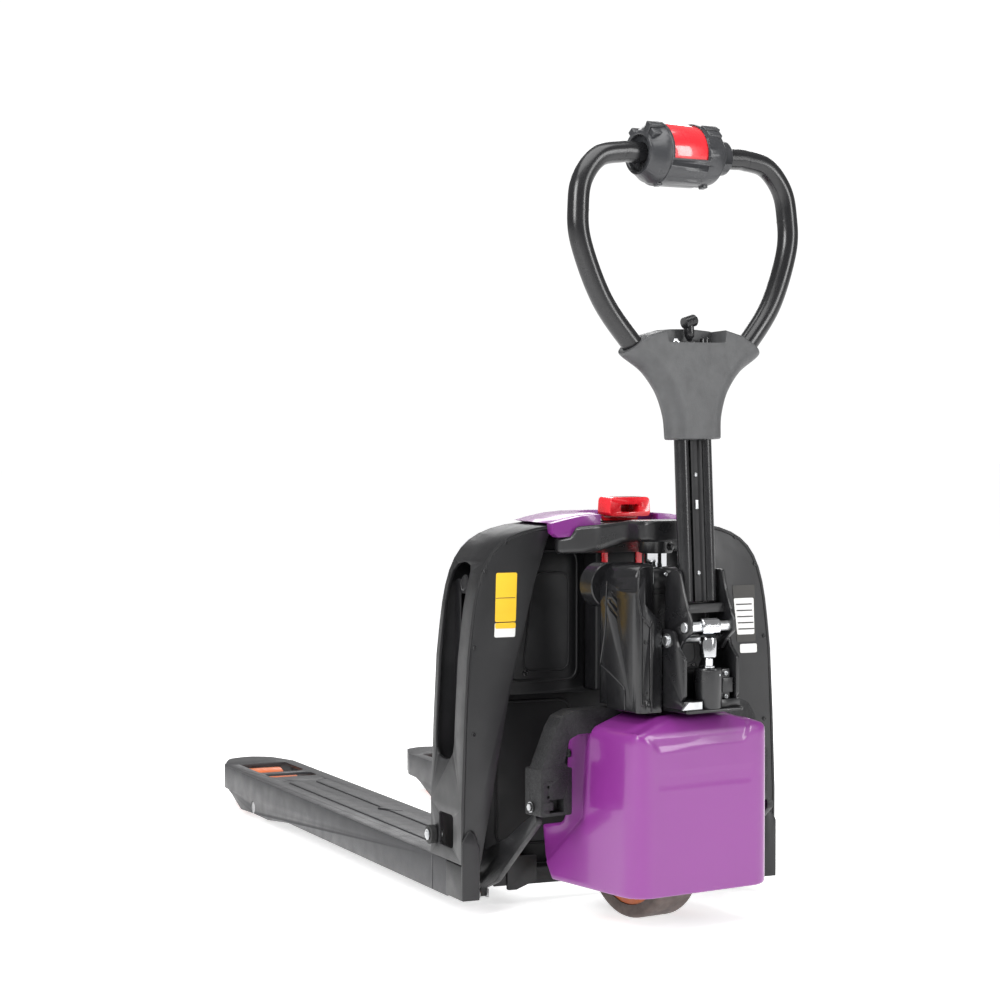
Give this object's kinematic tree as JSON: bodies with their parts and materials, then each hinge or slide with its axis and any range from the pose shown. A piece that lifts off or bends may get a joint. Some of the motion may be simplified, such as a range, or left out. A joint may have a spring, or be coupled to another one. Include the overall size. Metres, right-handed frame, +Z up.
{
  "type": "semi-electric pallet truck",
  "caption": "Low pallet truck with two forks, a tall rear chassis, a steered drive unit with a hand pump, a plug-in battery and a tilting tiller with a looped handle.",
  "frame": {"origin": "centre of the whole truck's box, on the floor it stands on", "axes": "+Z up, +Y from the tiller towards the fork tips, +X to the right seen from the tiller"},
  "size_m": [0.586, 1.5947, 1.2188],
  "materials": {
    "powder_coat": "black powder coat",
    "fork_coat": "charcoal powder coat",
    "cast_black": "black enamelled casting",
    "rough_cast": "rough sand casting, painted black",
    "black_plastic": "moulded gloss black",
    "dull_plastic": "moulded satin black",
    "grey_plastic": "fine-textured dark grey",
    "purple_plastic": "glossy purple",
    "red_plastic": "glossy red",
    "chrome": "hard chrome",
    "steel": "turned steel",
    "zinc_plate": "zinc plated",
    "tube_black": "satin black paint",
    "orange_tyre": "orange polyurethane",
    "tread": "grey-brown polyurethane tread",
    "rubber": "black rubber"
  },
  "bodies": {
    "frame": {"fork_left": "fork_coat", "fork_right": "fork_coat", "side_strip_left": "powder_coat", "side_strip_right": "powder_coat", "slot_panel_left": "dull_plastic", "slot_panel_right": "dull_plastic", "bumper_bolt_left": "steel", "bumper_bolt_right": "steel", "rear_wing_left": "powder_coat", "rear_wing_right": "powder_coat", "corner_gusset_left": "powder_coat", "corner_gusset_right": "powder_coat", "front_plate": "powder_coat", "recess_liner": "dull_plastic", "crossmember": "powder_coat", "top_cover": "purple_plastic", "lift_arm": "cast_black"},
    "side_roller_left": {"bumper_roller_left": "rubber"},
    "side_roller_right": {"bumper_roller_right": "rubber"},
    "battery": {"battery_pack": "dull_plastic", "battery_handle": "red_plastic"},
    "linkage_shaft": {"torsion_shaft": "powder_coat"},
    "rod_left": {"pushrod_left": "steel"},
    "rod_right": {"pushrod_right": "steel"},
    "arm_left": {"roller_arm_left": "steel"},
    "arm_right": {"roller_arm_right": "steel"},
    "bogie_frame_left": {"bogie_left": "steel"},
    "bogie_frame_right": {"bogie_right": "steel"},
    "roller_rear_left": {"load_roller_rear_left": "orange_tyre"},
    "roller_front_left": {"load_roller_front_left": "orange_tyre"},
    "roller_rear_right": {"load_roller_rear_right": "orange_tyre"},
    "roller_front_right": {"load_roller_front_right": "orange_tyre"},
    "piston": {"piston_rod": "chrome"},
    "drive_unit": {"lift_cylinder": "cast_black", "base_plate": "cast_black", "pump_body": "cast_black", "tiller_pivot_pin": "zinc_plate", "pump_barrel": "cast_black", "arch_yoke": "rough_cast", "drive_frame": "powder_coat", "drive_motor": "cast_black", "brake_housing": "cast_black", "drive_cover": "purple_plastic", "controller_cover": "black_plastic"},
    "drive_wheel": {"drive_hub": "orange_tyre", "drive_tyre": "tread"},
    "plunger": {"pump_plunger": "chrome"},
    "tiller": {"tiller_bracket": "cast_black", "cross_shaft": "steel", "tiller_tube_left": "tube_black", "tiller_tube_right": "tube_black", "cable_channel": "dull_plastic", "handle_loop": "tube_black", "tiller_cover": "grey_plastic", "charge_indicator": "chrome", "control_head": "dull_plastic"},
    "shaft_roller": {"pump_roller": "chrome"},
    "throttle": {"throttle_roller": "red_plastic"},
    "release_lever": {"release_knob": "black_plastic"},
    "horn": {"horn_button": "black_plastic"}
  },
  "joints": [
    {"name": "steer", "type": "hinge", "parent": "frame", "child": "piston", "pos_m": [0, -0.65, 0.55], "axis": [0, 0, 1], "range_deg": [-100, 79]},
    {"name": "lift", "type": "slide", "parent": "piston", "child": "drive_unit", "axis": [0, 0, -1], "range_m": [0, 0.115]},
    {"name": "drive_wheel_spin", "type": "hinge", "parent": "drive_unit", "child": "drive_wheel", "pos_m": [-0.00542, -0.62049, 0.105], "axis": [0.9836, 0.1805, 0], "continuous": true},
    {"name": "tiller_tilt", "type": "hinge", "parent": "drive_unit", "child": "tiller", "pos_m": [0.01751, -0.74541, 0.441], "axis": [0.9836, 0.1805, 0], "range_deg": [0, 80], "stiffness_Nm_per_rad": 20},
    {"name": "pump_stroke", "type": "slide", "parent": "drive_unit", "child": "plunger", "axis": [0, 0, -1], "range_m": [0, 0.051]},
    {"name": "shaft_roller_spin", "type": "hinge", "parent": "tiller", "child": "shaft_roller", "pos_m": [0.02329, -0.77688, 0.462], "axis": [0.9836, 0.1805, 0], "continuous": true},
    {"name": "throttle_turn", "type": "hinge", "parent": "tiller", "child": "throttle", "pos_m": [0.01216, -0.71623, 1.17027], "axis": [0.9836, 0.1805, 0], "range_deg": [-15, 15], "stiffness_Nm_per_rad": 0.6},
    {"name": "release_turn", "type": "hinge", "parent": "tiller", "child": "release_lever", "pos_m": [0.01492, -0.7313, 0.88869], "axis": [0.9836, 0.1805, 0], "range_deg": [-15, 15], "stiffness_Nm_per_rad": 0.2},
    {"name": "horn_press", "type": "slide", "parent": "tiller", "child": "horn", "axis": [0.0098, -0.0534, -0.9985], "range_m": [0, 0.0025], "stiffness_N_per_m": 400},
    {"name": "battery_slide", "type": "slide", "parent": "frame", "child": "battery", "axis": [0, 0, 1], "range_m": [0, 0.27]},
    {"name": "linkage_turn", "type": "hinge", "parent": "frame", "child": "linkage_shaft", "pos_m": [0, -0.437, 0.042], "axis": [1, 0, 0], "range_deg": [0, 30.2]},
    {"name": "rod_slide_left", "type": "slide", "parent": "frame", "child": "rod_left", "axis": [0, 1, 0], "range_m": [0, 0.0173]},
    {"name": "rod_slide_right", "type": "slide", "parent": "frame", "child": "rod_right", "axis": [0, 1, 0], "range_m": [0, 0.0173]},
    {"name": "arm_turn_left", "type": "hinge", "parent": "frame", "child": "arm_left", "pos_m": [-0.2, 0.504, 0.024], "axis": [-1, 0, 0], "range_deg": [0, 57.7]},
    {"name": "arm_turn_right", "type": "hinge", "parent": "frame", "child": "arm_right", "pos_m": [0.2, 0.504, 0.024], "axis": [-1, 0, 0], "range_deg": [0, 57.7]},
    {"name": "bogie_turn_left", "type": "hinge", "parent": "arm_left", "child": "bogie_frame_left", "pos_m": [-0.2, 0.633, 0.037], "axis": [1, 0, 0], "range_deg": [0, 57.7]},
    {"name": "bogie_turn_right", "type": "hinge", "parent": "arm_right", "child": "bogie_frame_right", "pos_m": [0.2, 0.633, 0.037], "axis": [1, 0, 0], "range_deg": [0, 57.7]},
    {"name": "roller_rear_left_spin", "type": "hinge", "parent": "bogie_frame_left", "child": "roller_rear_left", "pos_m": [-0.2, 0.588, 0.037], "axis": [1, 0, 0], "continuous": true},
    {"name": "roller_front_left_spin", "type": "hinge", "parent": "bogie_frame_left", "child": "roller_front_left", "pos_m": [-0.2, 0.678, 0.037], "axis": [1, 0, 0], "continuous": true},
    {"name": "roller_rear_right_spin", "type": "hinge", "parent": "bogie_frame_right", "child": "roller_rear_right", "pos_m": [0.2, 0.588, 0.037], "axis": [1, 0, 0], "continuous": true},
    {"name": "roller_front_right_spin", "type": "hinge", "parent": "bogie_frame_right", "child": "roller_front_right", "pos_m": [0.2, 0.678, 0.037], "axis": [1, 0, 0], "continuous": true},
    {"name": "side_roller_left_spin", "type": "hinge", "parent": "frame", "child": "side_roller_left", "pos_m": [-0.2835, -0.428, 0.116], "axis": [1, 0, 0], "continuous": true},
    {"name": "side_roller_right_spin", "type": "hinge", "parent": "frame", "child": "side_roller_right", "pos_m": [0.2835, -0.428, 0.116], "axis": [1, 0, 0], "continuous": true}
  ],
  "couplings": [
    {"joint": "pump_stroke", "follows": "tiller_tilt", "m_per_rad": 0.036},
    {"joint": "linkage_turn", "follows": "lift", "rad_per_m": 4.573},
    {"joint": "rod_slide_left", "follows": "lift", "ratio": 0.15},
    {"joint": "rod_slide_right", "follows": "lift", "ratio": 0.15},
    {"joint": "arm_turn_left", "follows": "lift", "rad_per_m": 8.745},
    {"joint": "arm_turn_right", "follows": "lift", "rad_per_m": 8.745},
    {"joint": "bogie_turn_left", "follows": "lift", "rad_per_m": 8.745},
    {"joint": "bogie_turn_right", "follows": "lift", "rad_per_m": 8.745}
  ]
}
